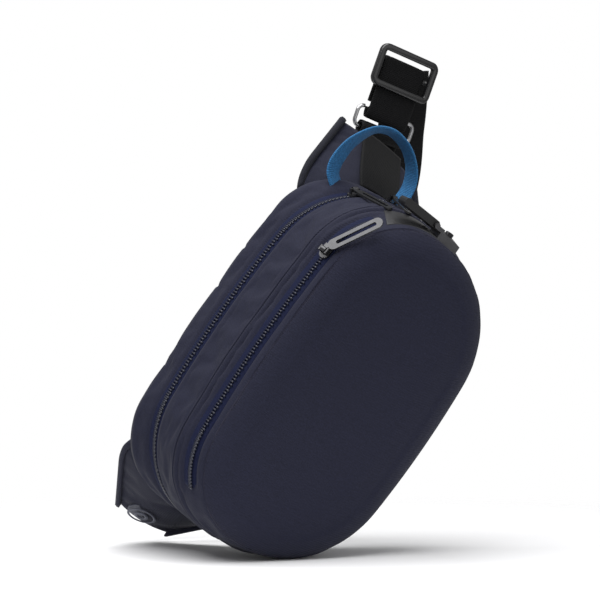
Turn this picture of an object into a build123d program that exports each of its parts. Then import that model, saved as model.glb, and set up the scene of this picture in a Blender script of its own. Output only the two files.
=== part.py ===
"""Zipped hip pack: a padded two-compartment bag with two hip wings, a webbing belt and a zip lock.

Frame: +X to the right of somebody facing the bag, +Y towards the wearer, +Z up as worn.
The origin is the middle of the back pad's flat outer face. A depth is a distance in front of that face.
"""

from build123d import *
from math import asin, cos, radians, sin, sqrt
import os

os.makedirs("parts", exist_ok=True)

# ---- bag body: (half length, top, bottom, top crown, top corner, bottom corner) by depth
BACK_DEPTH = 6.2
ZIP_DEPTH = 30.0
FOLD_DEPTH = 62.0
FRONT_ZIP_DEPTH = 75.0
SEAM_DEPTH = 86.0
CROWN_DEPTH = 98.0
LEVELS = {
    0.0: (133, 92, -81, 6, 44, 72),
    ZIP_DEPTH: (136, 85, -83, 12, 74, 74),
    FOLD_DEPTH: (133.5, 76.5, -84, 9, 62, 76),
    FRONT_ZIP_DEPTH: (130.5, 70, -84, 10, 60, 78),
    SEAM_DEPTH: (127.5, 65, -84, 10, 60, 78),
    CROWN_DEPTH: (127.5, 65, -84, 10, 60, 78),
}
BOTTOM_CROWN = 12.0
FABRIC = 2.4
SEAM_GAP = 0.3

# ---- back pad
PAD_THICKNESS = 6.0
PAD_INSET = 22.0

# ---- zips
TAPE_WIDTH = 2.4
TAPE_THICKNESS = 1.0
COIL_WIDTH = 1.4
COIL_RISE = 0.6
ZIP_SLOT = 3.6
MAIN_ZIP_LOW_END = -34.0
FRONT_ZIP_LOW_END = 48.0
MAIN_SLIDER_ANGLES = {"main_slider_a": 35.0, "main_slider_b": 11.0}
FRONT_SLIDER_X = 75.0
MAIN_ZIP_LEAN = 8.0
FRONT_ZIP_LEAN = 30.0
BAIL_HEIGHT = 6.4
BAIL_RADIUS = 0.9
RUNNING_CLEARANCE = 0.08
KNUCKLE_WIDTH = 3.8
KNUCKLE_WALL = 1.1
NECK_LENGTH = 3.4
PULL_THICKNESS = 1.4

# ---- zip lock on the right end of the front gusset
LOCK_DEPTHS = (66.5, 81.5)
LOCK_TOP = 44.0
LOCK_BOTTOM = -16.0
LOCK_PLATE = 2.0
LOCK_BLOCK = 7.5
LOCK_BLOCK_LENGTH = 20.0
LATCH_LENGTH = 34.0
LATCH_PIN_RADIUS = 1.0
BUTTON_RADIUS = 3.2
BUTTON_DEPTH = 4.0
BUTTON_TRAVEL = 1.5

# ---- wings
WING_ROOT_X = 106.0
WING_ROOT_Z = 16.0
WING_ROOT_Y = 2.0
WING_THICKNESS = 9.0
WING_ROOT_HALF_HEIGHT = 72.0
WING_ROOT_BOW = 27.0
LEFT_TIP_HALF_HEIGHT = 28.0
RIGHT_TIP_HALF_HEIGHT = 40.0
WING_TIP_BOW = 3.0
LEFT_TIP = (-166.0, 60.0, -6.0)
RIGHT_TIP = (174.0, 44.0, 19.0)
RIGHT_OUTWARD = (0.68, -0.73, 0.0)
BADGE_CENTRE = (-159.3, 43.9, 6.0)
BADGE_OUTWARD = (-0.85, -0.53, 0.0)
BADGE_RADIUS = 12.0

# ---- webbing, ring and slider buckle on the right wing, in a plane that faces the front
WEBBING_WIDTH = 40.0
WEBBING_THICKNESS = 1.7
CLIP_CENTRE = (185.0, 56.5, 18.0)
CLIP_YAW = 5.0
CLIP_TILT = 15.0
WIRE_RADIUS = 1.5
RING_REACH = 16.0
RING_WIDTH = 52.0
BUCKLE_REACH = 50.0
BUCKLE_LENGTH = 31.0
BUCKLE_WIDTH = 54.0
BUCKLE_BAR = 4.6
BUCKLE_THICKNESS = 4.0
BUCKLE_LIFT = 6.0

# ---- webbing sewn on the outer face of the right wing
WING_WEBBING_CENTRE = (153.1, 18.1, 20.0)
WING_WEBBING_ALONG = (0.70, 0.716, 0.0)
WING_WEBBING_OUTWARD = (0.716, -0.70, 0.0)
WING_WEBBING_LENGTH = 40.0

# ---- belt: middle of its run, from behind the buckle to the left wing
BELT_RUN = [
    (238, 71, 24), (201, 77, -6), (147, 83, -40), (44, 82, -49), (-76, 80, -36), (-154, 78, -10),
]

# ---- carry loop, as (x, z) points of its middle line
LOOP_START = (125.45, 67.0)
LOOP_PEAK = (177.45, 52.0)
LOOP_END = (140.45, 10.0)
LOOP_WIDTH = 15.0
LOOP_MIDDLE_Y = -11.5


def level(depth):
    """Outline sizes of the bag at a depth, between the levels that are named above."""
    back = max(d for d in LEVELS if d <= depth)
    front = min(d for d in LEVELS if d >= depth)
    share = 0 if back == front else (depth - back) / (front - back)
    return [a + (b - a) * share for a, b in zip(LEVELS[back], LEVELS[front])]


def corner(half, height, crown, radius):
    """Centre of a corner arc, and the two points where it leaves the crown and meets the side."""
    arch = (half**2 + crown**2) / (2 * crown)
    x = half - radius
    z = height - arch + sqrt((arch - radius) ** 2 - x**2)
    reach = radius / (arch - radius)
    crown_end = (x * (1 + reach), z + (z - height + arch) * reach)
    return (x, z), crown_end, (half, z)


def corner_points(centre, start, end, radius):
    """Start, middle and end of the corner arc about a centre."""
    toward = Vector(start[0] + end[0] - 2 * centre[0], start[1] + end[1] - 2 * centre[1]).normalized()
    return [start, (centre[0] + radius * toward.X, centre[1] + radius * toward.Y), end]


def section(depth, inset=0.0):
    """One closed outline of the bag, parallel to the back face and shrunk evenly by inset."""
    half, top, bottom, crown, top_radius, bottom_radius = level(depth)
    half, top, drop = half - inset, top - inset, -bottom - inset
    upper, upper_start, upper_end = corner(half, top, crown, top_radius - inset)
    lower, lower_start, lower_end = corner(half, drop, BOTTOM_CROWN, bottom_radius - inset)
    with BuildSketch(Plane.XZ.offset(depth)) as outline:
        with BuildLine():
            ThreePointArc((-upper_start[0], upper_start[1]), (0, top), upper_start)
            first = corner_points(upper, upper_start, upper_end, top_radius - inset)
            ThreePointArc(*first)
            Line(upper_end, (lower_end[0], -lower_end[1]))
            second = [(x, -z) for x, z in corner_points(lower, lower_end, lower_start, bottom_radius - inset)]
            ThreePointArc(*second)
            ThreePointArc((lower_start[0], -lower_start[1]), (0, -drop), (-lower_start[0], -lower_start[1]))
            ThreePointArc(*[(-x, z) for x, z in reversed(second)])
            Line((-lower_end[0], -lower_end[1]), (-upper_end[0], upper_end[1]))
            ThreePointArc(*[(-x, z) for x, z in reversed(first)])
        make_face()
    return outline.sketch


def body_loft(depths, insets, mode=Mode.ADD):
    """Lofts the bag's outline through several depths, with an inset for each."""
    outlines = [section(depth, inset) for depth, inset in zip(depths, insets)]
    loft(outlines, ruled=True, mode=mode)


def tube(depths, outer=0.0, inner=FABRIC):
    """An open band of the bag's wall between the first and the last depth."""
    body_loft(depths, [outer] * len(depths))
    body_loft(depths, [inner] * len(depths), mode=Mode.SUBTRACT)


def keep_above(height):
    """Cuts the part being built away below a height."""
    with Locations((0, 0, height - 200)):
        Box(600, 600, 400, mode=Mode.SUBTRACT)


def corner_centre(depth):
    """Centre (x, z) and radius of the right upper corner arc at a depth."""
    half, top, _, crown, radius, _ = level(depth)
    (x, z), _, _ = corner(half, top, crown, radius)
    return x, z, radius


def crown_radius(depth):
    """Radius of the shallow arch along the top at a depth."""
    half, _, _, crown, _, _ = level(depth)
    return (half**2 + crown**2) / (2 * crown)


# ======== shells
with BuildPart() as back_pad:
    body_loft([0, PAD_THICKNESS], [PAD_INSET + 2, PAD_INSET])
back_pad.part.label = "back_pad"

slot_front = ZIP_DEPTH + ZIP_SLOT
with BuildPart() as rear_shell:
    body_loft([BACK_DEPTH, ZIP_DEPTH, slot_front], [0, 0, 0])
    body_loft([BACK_DEPTH + FABRIC, ZIP_DEPTH, slot_front], [FABRIC] * 3, mode=Mode.SUBTRACT)
    with Locations((0, -ZIP_DEPTH, MAIN_ZIP_LOW_END - SEAM_GAP + 100)):
        Box(400, 2 * ZIP_SLOT, 200, mode=Mode.SUBTRACT)
rear_shell.part.label = "rear_shell"

front_start = slot_front + SEAM_GAP
with BuildPart() as front_shell:
    body_loft([front_start, FOLD_DEPTH, FOLD_DEPTH + FABRIC], [0, 0, 0])
    body_loft([front_start, FOLD_DEPTH], [FABRIC, FABRIC], mode=Mode.SUBTRACT)
front_shell.part.label = "front_shell"

pocket_start = FOLD_DEPTH + FABRIC + SEAM_GAP
pocket_end = SEAM_DEPTH - 1
with BuildPart() as pocket_gusset:
    tube([pocket_start, FRONT_ZIP_DEPTH, pocket_end])
    with Locations((0, -FRONT_ZIP_DEPTH, FRONT_ZIP_LOW_END - SEAM_GAP + 100)):
        Box(400, 2 * ZIP_SLOT, 200, mode=Mode.SUBTRACT)
pocket_gusset.part.label = "pocket_gusset"

with BuildPart() as front_panel:
    body_loft([pocket_end + SEAM_GAP, 91, 95.5, CROWN_DEPTH], [0, 4, 14, 34])
    body_loft([pocket_end + SEAM_GAP, 90, 94.5], [FABRIC, 7, 26], mode=Mode.SUBTRACT)
front_panel.part.label = "front_panel"

with BuildPart() as front_piping:
    tube([pocket_end - 1, pocket_end + 1.2], outer=-1.7, inner=-0.15)
front_piping.part.label = "front_piping"

# ======== inner layers
with BuildPart() as slip_pocket:
    with BuildSketch(Plane.XZ.offset(BACK_DEPTH + FABRIC + 0.4)):
        RectangleRounded(190, 96, 14)
    extrude(amount=1.2)
slip_pocket.part.label = "slip_pocket"

with BuildPart() as slash_guard:
    with BuildSketch(Plane.XZ.offset(93)):
        with Locations((0, -13)):
            RectangleRounded(176, 72, 20)
    extrude(amount=0.8)
slash_guard.part.label = "slash_guard"


# ======== zips
def zip_band(depth, low_end, back_edge, front_edge, outer, inner):
    """A strip that follows the bag's outline on one side of a zip's middle line."""
    with BuildPart() as band:
        tube([depth + back_edge, depth + front_edge], outer, inner)
        keep_above(low_end)
    return band.part


half_coil = COIL_WIDTH / 2
tape_inner = half_coil + 0.2
tape_outer = tape_inner + TAPE_WIDTH
tape_face = 0.4

main_tape_rear = zip_band(
    ZIP_DEPTH, MAIN_ZIP_LOW_END, -tape_outer, -tape_inner, tape_face, tape_face + TAPE_THICKNESS
)
main_tape_rear.label = "main_tape_rear"
main_tape_front = zip_band(
    ZIP_DEPTH, MAIN_ZIP_LOW_END, tape_inner, tape_outer, tape_face, tape_face + TAPE_THICKNESS
)
main_tape_front.label = "main_tape_front"
main_zip_coil = zip_band(ZIP_DEPTH, MAIN_ZIP_LOW_END, -half_coil, half_coil, -COIL_RISE, TAPE_THICKNESS)
main_zip_coil.label = "main_zip_coil"

front_tape_upper = zip_band(
    FRONT_ZIP_DEPTH, FRONT_ZIP_LOW_END, -tape_outer, -tape_inner, tape_face, tape_face + TAPE_THICKNESS
)
front_tape_upper.label = "front_tape_upper"
front_tape_lower = zip_band(
    FRONT_ZIP_DEPTH, FRONT_ZIP_LOW_END, tape_inner, tape_outer, tape_face, tape_face + TAPE_THICKNESS
)
front_tape_lower.label = "front_tape_lower"
front_zip_coil = zip_band(
    FRONT_ZIP_DEPTH, FRONT_ZIP_LOW_END, -half_coil, half_coil, -COIL_RISE, TAPE_THICKNESS
)
front_zip_coil.label = "front_zip_coil"


def leaning_plane(origin, outward, lean):
    """Plane with X along a zip's travel and Z outwards, leaning to the front as the gusset does."""
    travel = Vector(outward[2], 0, -outward[0])
    normal = Vector(*outward) * cos(radians(lean)) - Vector(0, sin(radians(lean)), 0)
    return Plane(origin=origin, x_dir=travel, z_dir=normal)


def main_slider_plane(angle):
    """Plane of a slider on the main zip's corner arc, at an angle above the arc's level radius."""
    x, z, radius = corner_centre(ZIP_DEPTH)
    outward = (cos(radians(angle)), 0, sin(radians(angle)))
    origin = (x + radius * outward[0], -ZIP_DEPTH, z + radius * outward[2])
    return leaning_plane(origin, outward, MAIN_ZIP_LEAN)


def front_slider_plane():
    """Plane of the slider on the front zip's shallow top arch, at its rest place."""
    _, top, _, _, _, _ = level(FRONT_ZIP_DEPTH)
    radius = crown_radius(FRONT_ZIP_DEPTH)
    angle = asin(FRONT_SLIDER_X / radius)
    outward = (sin(angle), 0, cos(angle))
    origin = (FRONT_SLIDER_X, -FRONT_ZIP_DEPTH, top - radius + radius * cos(angle))
    return leaning_plane(origin, outward, FRONT_ZIP_LEAN)


def bail_axis_plane(plane, across):
    """Plane at the middle of a slider's bail bar, with Z along the bar."""
    centre = plane.from_local_coords((0, 0, BAIL_HEIGHT))
    return Plane(origin=centre, x_dir=plane.z_dir, z_dir=plane.y_dir if across else plane.x_dir)


def zip_slider(plane, across):
    """A slider: a top plate with two posts and the bail bar that the pull hangs on."""
    post = (4.2, 1.1) if across else (1.1, 2.4)
    reach = 3.0
    with BuildPart(plane) as slider:
        with BuildSketch(plane.offset(1.2)):
            SlotCenterToCenter(2.5, 8)
        extrude(amount=1.9)
        places = [(0, reach), (0, -reach)] if across else [(reach, 0), (-reach, 0)]
        with BuildSketch(plane.offset(3.0)):
            with Locations(*places):
                Rectangle(*post)
        extrude(amount=BAIL_HEIGHT - 3.0 + BAIL_RADIUS)
        with BuildSketch(bail_axis_plane(plane, across).offset(-reach)):
            Circle(BAIL_RADIUS)
        extrude(amount=2 * reach)
        chamfer(slider.faces().sort_by(Axis(plane.origin, plane.z_dir))[0].edges(), length=0.3)
    return slider.part


def zip_pull(plane, across, length, width, tilt, skew):
    """A slotted metal pull, with a knuckle on the bail bar and a neck between the two posts."""
    bar = bail_axis_plane(plane, across)
    forward = plane.x_dir if across else plane.y_dir * -1
    down, turn = radians(tilt), radians(skew)
    leaning = forward * cos(down) - plane.z_dir * sin(down)
    normal = plane.z_dir * cos(down) + forward * sin(down)
    heading = leaning * cos(turn) + normal.cross(leaning) * sin(turn)
    neck_plane = Plane(origin=bar.origin, x_dir=leaning, z_dir=normal)
    blade_plane = Plane(origin=bar.origin, x_dir=heading, z_dir=normal)
    with BuildPart() as pull:
        with BuildSketch(bar.offset(-KNUCKLE_WIDTH / 2)):
            Circle(BAIL_RADIUS + KNUCKLE_WALL)
        extrude(amount=KNUCKLE_WIDTH)
        with BuildSketch(neck_plane.offset(-PULL_THICKNESS / 2)):
            with Locations((NECK_LENGTH / 2 + 1.0, 0)):
                Rectangle(NECK_LENGTH + 1.0, KNUCKLE_WIDTH - 0.2)
        extrude(amount=PULL_THICKNESS)
        with BuildSketch(blade_plane.offset(-PULL_THICKNESS / 2)):
            with Locations((NECK_LENGTH + length / 2, 0)):
                SlotOverall(length, width)
            with Locations((NECK_LENGTH + length * 0.52, 0)):
                SlotOverall(length * 0.74, width * 0.36, mode=Mode.SUBTRACT)
        extrude(amount=PULL_THICKNESS)
        with BuildSketch(bar.offset(-KNUCKLE_WIDTH)):
            Circle(BAIL_RADIUS + RUNNING_CLEARANCE)
        extrude(amount=2 * KNUCKLE_WIDTH, mode=Mode.SUBTRACT)
    return pull.part


plane_a = main_slider_plane(MAIN_SLIDER_ANGLES["main_slider_a"])
plane_b = main_slider_plane(MAIN_SLIDER_ANGLES["main_slider_b"])
plane_front = front_slider_plane()

main_slider_a = zip_slider(plane_a, across=False)
main_slider_a.label = "main_slider_a"
main_slider_b = zip_slider(plane_b, across=False)
main_slider_b.label = "main_slider_b"
front_slider = zip_slider(plane_front, across=True)
front_slider.label = "front_slider"

main_pull_a = zip_pull(plane_a, across=False, length=35, width=6.4, tilt=4, skew=18)
main_pull_a.label = "main_pull_a"
main_pull_b = zip_pull(plane_b, across=False, length=32, width=6.4, tilt=2, skew=-6)
main_pull_b.label = "main_pull_b"
front_pull = zip_pull(plane_front, across=True, length=42, width=8.5, tilt=6, skew=-26)
front_pull.label = "front_pull"

# ======== zip lock
lock_middle = sum(LOCK_DEPTHS) / 2
lock_width = LOCK_DEPTHS[1] - LOCK_DEPTHS[0]
block_top = LOCK_BOTTOM + LOCK_BLOCK_LENGTH
pin_x = level(LOCK_DEPTHS[0])[0] + LOCK_PLATE + 3.2
pin_z = block_top + 5.0
ear_thickness = 2.0
half_lock = lock_width / 2


def lock_slice(outer, inner, low, high):
    """A curved slab that lies on the right end of the gusset between two heights."""
    tube(LOCK_DEPTHS, outer, inner)
    keep_above(low)
    with Locations((0, 0, high + 200)):
        Box(600, 600, 400, mode=Mode.SUBTRACT)
    with Locations((-200, 0, 0)):
        Box(500, 600, 600, mode=Mode.SUBTRACT)


with BuildPart() as lock_slab:
    lock_slice(-LOCK_PLATE, -0.25, LOCK_BOTTOM, LOCK_TOP)

with BuildPart() as lock_block:
    lock_slice(-LOCK_BLOCK, -0.25, LOCK_BOTTOM, block_top)

button_x = level(lock_middle)[0] + LOCK_BLOCK
button_z = LOCK_BOTTOM + LOCK_BLOCK_LENGTH / 2 - 1
with BuildPart() as lock_base:
    add(lock_slab.part)
    add(lock_block.part)
    for near in (lock_middle - half_lock, lock_middle + half_lock - ear_thickness):
        with BuildSketch(Plane.XZ.offset(near)):
            with Locations((pin_x, pin_z)):
                Circle(2.2)
            with Locations((pin_x - 0.6, (block_top + pin_z) / 2 - 1)):
                Rectangle(3.2, pin_z - block_top + 2)
        extrude(amount=ear_thickness)
    with BuildSketch(Plane.XZ.offset(lock_middle - half_lock + 0.1)):
        with Locations((pin_x, pin_z)):
            Circle(LATCH_PIN_RADIUS)
    extrude(amount=lock_width - 0.2)
    with BuildSketch(Plane.YZ.offset(button_x - BUTTON_DEPTH)):
        with Locations((-lock_middle, button_z)):
            Circle(BUTTON_RADIUS + RUNNING_CLEARANCE)
    extrude(amount=BUTTON_DEPTH + 6, mode=Mode.SUBTRACT)
lock_base.part.label = "lock_base"

with BuildPart() as lock_button:
    with BuildSketch(Plane.YZ.offset(button_x - BUTTON_DEPTH + BUTTON_TRAVEL + 0.3)):
        with Locations((-lock_middle, button_z)):
            Circle(BUTTON_RADIUS)
    extrude(amount=BUTTON_DEPTH + 0.5)
    fillet(lock_button.faces().sort_by(Axis.X)[-1].edges(), radius=0.5)
lock_button.part.label = "lock_button"

latch_width = lock_width - 2 * ear_thickness - 0.6
with BuildPart() as lock_latch:
    with BuildSketch(Plane.XZ.offset(lock_middle - latch_width / 2)):
        with Locations((pin_x + 0.6, pin_z + LATCH_LENGTH / 2 - 2)):
            RectangleRounded(6.0, LATCH_LENGTH, 2.4)
        with Locations((pin_x, pin_z)):
            Circle(LATCH_PIN_RADIUS + RUNNING_CLEARANCE, mode=Mode.SUBTRACT)
    extrude(amount=latch_width)
lock_latch.part.label = "lock_latch"


# ======== wings
def bowed_band(plane, height, bow, thickness):
    """A closed band across a wing: two parallel arcs, joined at the upper and lower edge."""
    with BuildSketch(plane) as band:
        with BuildLine():
            ThreePointArc((0, height), (bow, 0), (0, -height))
            Line((0, -height), (-thickness, -height + 2))
            ThreePointArc((-thickness, -height + 2), (bow - thickness, 0), (-thickness, height - 2))
            Line((-thickness, height - 2), (0, height))
        make_face()
    return band.sketch


def wing(side, tip_origin, tip_outward, tip_half_height):
    """A padded wing, lofted from the bag's end to a narrow tip. Each section's X points away from the bag."""
    root = Plane(origin=(side * WING_ROOT_X, WING_ROOT_Y, WING_ROOT_Z), x_dir=(side, 0, 0), z_dir=(0, -side, 0))
    tip = Plane(origin=tip_origin, x_dir=tip_outward, z_dir=Vector(tip_outward).cross(Vector(0, 0, 1)))
    wide = bowed_band(root, WING_ROOT_HALF_HEIGHT, WING_ROOT_BOW, WING_THICKNESS)
    narrow = bowed_band(tip, tip_half_height, WING_TIP_BOW, WING_THICKNESS - 1)
    with BuildPart() as panel:
        loft([wide, narrow], ruled=True)
    return panel.part


left_wing = wing(-1, LEFT_TIP, (-1, 0, 0), LEFT_TIP_HALF_HEIGHT)
left_wing.label = "left_wing"
right_wing = wing(1, RIGHT_TIP, RIGHT_OUTWARD, RIGHT_TIP_HALF_HEIGHT)
right_wing.label = "right_wing"

with BuildPart() as wing_badge:
    with BuildSketch(Plane(origin=BADGE_CENTRE, x_dir=(0, 0, 1), z_dir=BADGE_OUTWARD)):
        Circle(BADGE_RADIUS)
    extrude(amount=0.8)
wing_badge.part.label = "wing_badge"

with BuildPart() as left_strap_tab:
    with BuildSketch(Plane.XZ.offset(-LEFT_TIP[1] - 0.4)):
        with Locations((LEFT_TIP[0] + 5, LEFT_TIP[2] - 2)):
            Rectangle(3.4, WEBBING_WIDTH)
    extrude(amount=-16)
left_strap_tab.part.label = "left_strap_tab"

# ======== ring, webbing and buckle on the right wing
clip_along = Vector(1, 0, 0).rotate(Axis.Y, -CLIP_TILT).rotate(Axis.Z, CLIP_YAW)
clip_front = Vector(0, -1, 0).rotate(Axis.Z, CLIP_YAW)
clip = Plane(origin=CLIP_CENTRE, x_dir=clip_along, z_dir=clip_front)
clip_side = Plane(origin=CLIP_CENTRE, x_dir=clip.x_dir, z_dir=-clip.y_dir)
half_webbing = WEBBING_WIDTH / 2

with BuildPart() as strap_ring:
    with BuildSketch(clip.offset(0)):
        with Locations((RING_REACH / 2, 0)):
            RectangleRounded(RING_REACH + 2 * WIRE_RADIUS, RING_WIDTH + 2 * WIRE_RADIUS, 4)
            RectangleRounded(RING_REACH - 2 * WIRE_RADIUS, RING_WIDTH - 2 * WIRE_RADIUS, 1.4, mode=Mode.SUBTRACT)
    extrude(amount=WIRE_RADIUS * 0.8, both=True)
    with BuildSketch(clip_side.offset(-half_webbing - 2)):
        with Locations((0, 0), (RING_REACH, 0)):
            Circle(WIRE_RADIUS + 0.4)
    extrude(amount=WEBBING_WIDTH + 4)
strap_ring.part.label = "strap_ring"
bar_radius = WIRE_RADIUS + 0.4


with BuildPart() as clip_tab:
    with BuildSketch(clip_side.offset(-half_webbing)):
        Circle(bar_radius + 3.4)
        with Locations((-6.0, 3.2)):
            Rectangle(9.0, 3.0)
        Circle(bar_radius + RUNNING_CLEARANCE, mode=Mode.SUBTRACT)
    extrude(amount=WEBBING_WIDTH)
clip_tab.part.label = "clip_tab"

with BuildPart() as front_strap:
    with BuildSketch(clip_side.offset(-half_webbing + 1)):
        with Locations(((RING_REACH + BUCKLE_REACH) / 2, 0)):
            SlotCenterToCenter(BUCKLE_REACH - RING_REACH, 2 * (bar_radius + WEBBING_THICKNESS))
            SlotCenterToCenter(
                BUCKLE_REACH - RING_REACH, 2 * (bar_radius + RUNNING_CLEARANCE), mode=Mode.SUBTRACT
            )
    extrude(amount=WEBBING_WIDTH - 2)
front_strap.part.label = "front_strap"

with BuildPart() as slider_buckle:
    with BuildSketch(clip.offset(BUCKLE_LIFT - BUCKLE_THICKNESS / 2)):
        with Locations((BUCKLE_REACH, 0)):
            RectangleRounded(BUCKLE_LENGTH, BUCKLE_WIDTH, 4.5)
            RectangleRounded(
                BUCKLE_LENGTH - 2 * BUCKLE_BAR, BUCKLE_WIDTH - 2 * BUCKLE_BAR, 1.5, mode=Mode.SUBTRACT
            )
    extrude(amount=BUCKLE_THICKNESS)
    fillet(slider_buckle.faces().sort_by(Axis(clip.origin, clip.z_dir))[-1].edges(), radius=1.2)
    with BuildSketch(clip_side.offset(-BUCKLE_WIDTH / 2 + 0.6)):
        with Locations((BUCKLE_REACH, 0)):
            Circle(bar_radius)
    extrude(amount=BUCKLE_WIDTH - 1.2)
    with BuildSketch(clip_side.offset(-BUCKLE_WIDTH / 2 + 0.6)):
        with Locations((BUCKLE_REACH, BUCKLE_LIFT / 2)):
            Rectangle(2 * bar_radius, BUCKLE_LIFT)
    extrude(amount=BUCKLE_BAR - 1.2)
    with BuildSketch(clip_side.offset(BUCKLE_WIDTH / 2 - BUCKLE_BAR + 0.6)):
        with Locations((BUCKLE_REACH, BUCKLE_LIFT / 2)):
            Rectangle(2 * bar_radius, BUCKLE_LIFT)
    extrude(amount=BUCKLE_BAR - 1.2)
slider_buckle.part.label = "slider_buckle"


# ======== belt behind the bag
def belt_section(point, tangent):
    """Cross-section of the belt at a point of its run, with its width as upright as the run allows."""
    plane = Plane(origin=point, x_dir=Vector(tangent).cross(Vector(0, 0, 1)), z_dir=tangent)
    with BuildSketch(plane) as cut:
        Rectangle(WEBBING_THICKNESS, WEBBING_WIDTH)
    return cut.sketch


with BuildPart() as belt:
    run = [Vector(*point) for point in BELT_RUN]
    cuts = []
    for index, point in enumerate(run):
        ahead = run[min(index + 1, len(run) - 1)]
        behind = run[max(index - 1, 0)]
        cuts.append(belt_section(point, ahead - behind))
    loft(cuts)
belt.part.label = "belt"

# ======== carry loop on the bag's right end
with BuildPart() as carry_loop:
    with BuildSketch(Plane.XZ.offset(-LOOP_MIDDLE_Y - LOOP_WIDTH / 2)):
        with BuildLine():
            Spline(LOOP_START, LOOP_PEAK, LOOP_END, tangents=[(1.0, 0.35), (-0.95, -0.3)])
        trace(line_width=WEBBING_THICKNESS)
    extrude(amount=LOOP_WIDTH)
carry_loop.part.label = "carry_loop"

with BuildPart() as wing_webbing:
    web = Plane(origin=WING_WEBBING_CENTRE, x_dir=WING_WEBBING_ALONG, z_dir=WING_WEBBING_OUTWARD)
    with BuildSketch(web):
        Rectangle(WING_WEBBING_LENGTH, WEBBING_WIDTH)
    extrude(amount=1.6)
wing_webbing.part.label = "wing_webbing"

pieces = [
    back_pad.part, rear_shell.part, front_shell.part, pocket_gusset.part, front_panel.part,
    front_piping.part, slip_pocket.part, slash_guard.part, main_tape_rear, main_tape_front,
    main_zip_coil, front_tape_upper, front_tape_lower, front_zip_coil, main_slider_a, main_slider_b,
    front_slider, main_pull_a, main_pull_b, front_pull, lock_base.part, lock_button.part,
    lock_latch.part, left_wing, right_wing, wing_badge.part, left_strap_tab.part, strap_ring.part,
    clip_tab.part, front_strap.part, slider_buckle.part, belt.part, carry_loop.part, wing_webbing.part,
]
for piece in pieces:
    export_step(piece, f"parts/{piece.label}.step")
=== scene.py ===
"""Looks of the zipped hip pack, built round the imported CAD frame.

Sizes are millimetres in the CAD frame and become metres when a mesh is made. A depth is a distance in front
of the back face. Soft parts, the strap ring, the buckle and the wire guard are their own meshes; sliders,
pulls and the lock are the CAD nodes with finishes.
"""

import math

import bmesh
import bpy
import numpy as np
from mathutils import Matrix, Vector, noise


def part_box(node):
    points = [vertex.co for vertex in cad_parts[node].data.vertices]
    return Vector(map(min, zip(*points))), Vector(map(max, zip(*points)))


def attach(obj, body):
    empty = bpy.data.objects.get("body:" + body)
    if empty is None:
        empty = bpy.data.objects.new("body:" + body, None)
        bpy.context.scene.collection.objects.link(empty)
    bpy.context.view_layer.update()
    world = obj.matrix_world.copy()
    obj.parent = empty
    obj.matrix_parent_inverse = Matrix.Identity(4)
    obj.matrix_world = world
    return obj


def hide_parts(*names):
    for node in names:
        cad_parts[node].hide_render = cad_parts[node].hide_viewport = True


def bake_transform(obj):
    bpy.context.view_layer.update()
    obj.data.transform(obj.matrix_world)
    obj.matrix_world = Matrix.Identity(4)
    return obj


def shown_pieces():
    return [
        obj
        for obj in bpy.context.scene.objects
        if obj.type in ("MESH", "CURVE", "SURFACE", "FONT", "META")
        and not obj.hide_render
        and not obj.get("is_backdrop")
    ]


MM = 0.001

# bag outline: (half length, top, bottom, top crown, top corner, bottom corner) by depth
LEVELS = {
    0.0: (133, 92, 81, 6, 44, 72),
    30.0: (136, 85, 83, 12, 74, 74),
    62.0: (133.5, 76.5, 84, 9, 62, 76),
    75.0: (130.5, 70, 84, 10, 60, 78),
    86.0: (127.5, 65, 84, 10, 60, 78),
}
BOTTOM_CROWN = 12.0
ZIP_DEPTH = 30.0
FOLD_DEPTH = 62.0
FRONT_ZIP_DEPTH = 75.0
SEAM_DEPTH = 86.0
MAIN_ZIP_LOW_END = -34.0
FRONT_ZIP_LOW_END = 48.0
PAD_DEPTH = 6.0
PAD_INSET = 22.0
PAD_GRID = (80, 48)
PAD_GROOVES = (-42, 0, 42)
PAD_EDGE = 7.0
GROOVE_DEPTH = 2.6
GROOVE_HALF = 2.4
PANEL_GRID = (96, 60)
PANEL_FROM_EDGE = [0, 1.5, 4, 8, 14, 22, 34]
PANEL_DEPTHS = [85.6, 87.2, 89.2, 91.6, 93.8, 95.8, 97.2]
SEGMENT_SAMPLES = (30, 30, 7, 28, 28)

# wings: the root curve behind the bag's back edge, and each tip
ROOT_X = 106.0
ROOT_Y = -7.0
ROOT_Z = 16.0
ROOT_HALF = 72.0
ROOT_BOW = 27.0
TIP_BOW = 3.0
TUCK_SHARE = 0.45
WING_TIPS = {
    -1: {"place": (-166.0, 60.0, -6.0), "out": (-1.0, 0.0, 0.0), "half": 26.0, "tuck": 26.0},
    1: {"place": (174.0, 44.0, 19.0), "out": (0.68, -0.73, 0.0), "half": 40.0, "tuck": 9.0},
}

# zips
COIL_HALF = 3.2
TOOTH_PITCH = 1.7
TAPE_HALF = 6.4
CHANNEL_DROP = 1.0
WELT_RISE = 0.8
STITCH_PITCH = 3.4
STITCH_SIZE = (1.9, 0.5, 0.45)

# stretch of the pocket gusset that stays flat under the lock
LOCK_DEPTHS = (62.0, 86.0)
LOCK_NEAR_X = 96.0
LOCK_MIDDLE_Z = 18.0
LOCK_REACH = 42.0

# cloth: how much a sheet grows, and how far the wings' filling sits behind their faces
GROWTH = 0.012
CLOTH_FRAMES = 20
WING_SINK = 1.6

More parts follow.
